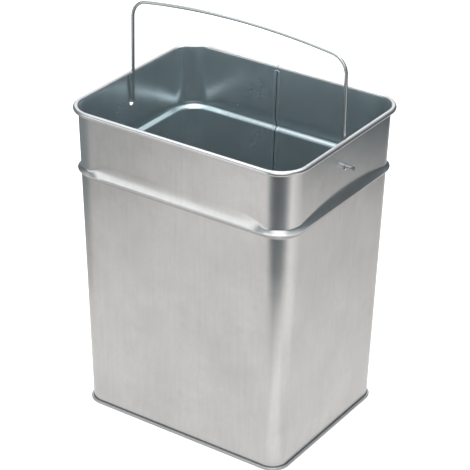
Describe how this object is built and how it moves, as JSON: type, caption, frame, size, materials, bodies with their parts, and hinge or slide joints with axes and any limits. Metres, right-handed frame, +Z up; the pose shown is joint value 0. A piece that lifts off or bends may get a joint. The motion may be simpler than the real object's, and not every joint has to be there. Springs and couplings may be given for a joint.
{
  "type": "waste can liner",
  "caption": "Open rectangular galvanised steel waste can liner with a rolled rim, a bead below the rim, a recessed base and a swinging wire bail.",
  "frame": {"origin": "middle of the base, on the surface that the can stands on", "axes": "+Z up; the long walls face -Y (front) and +Y (back, with the lock seam); the bail's pivots lie along X"},
  "size_m": [0.3238, 0.2516, 0.502],
  "materials": {
    "galvanised_sheet": "bright hot-dip galvanised sheet with a fine soft spangle and a satin reflection",
    "rim_wire": "plain galvanised wire, hidden in the rolled rim",
    "bail_wire": "smooth bright galvanised wire"
  },
  "bodies": {
    "can": {"body_shell": "galvanised_sheet", "rim_wire": "rim_wire", "base_pan": "galvanised_sheet"},
    "bail": {"bail": "bail_wire"}
  },
  "joints": [
    {"name": "bail_swing", "type": "hinge", "parent": "can", "child": "bail", "pos_m": [0, 0, 0.36008], "axis": [1, 0, 0], "range_deg": [-69, 69]}
  ]
}
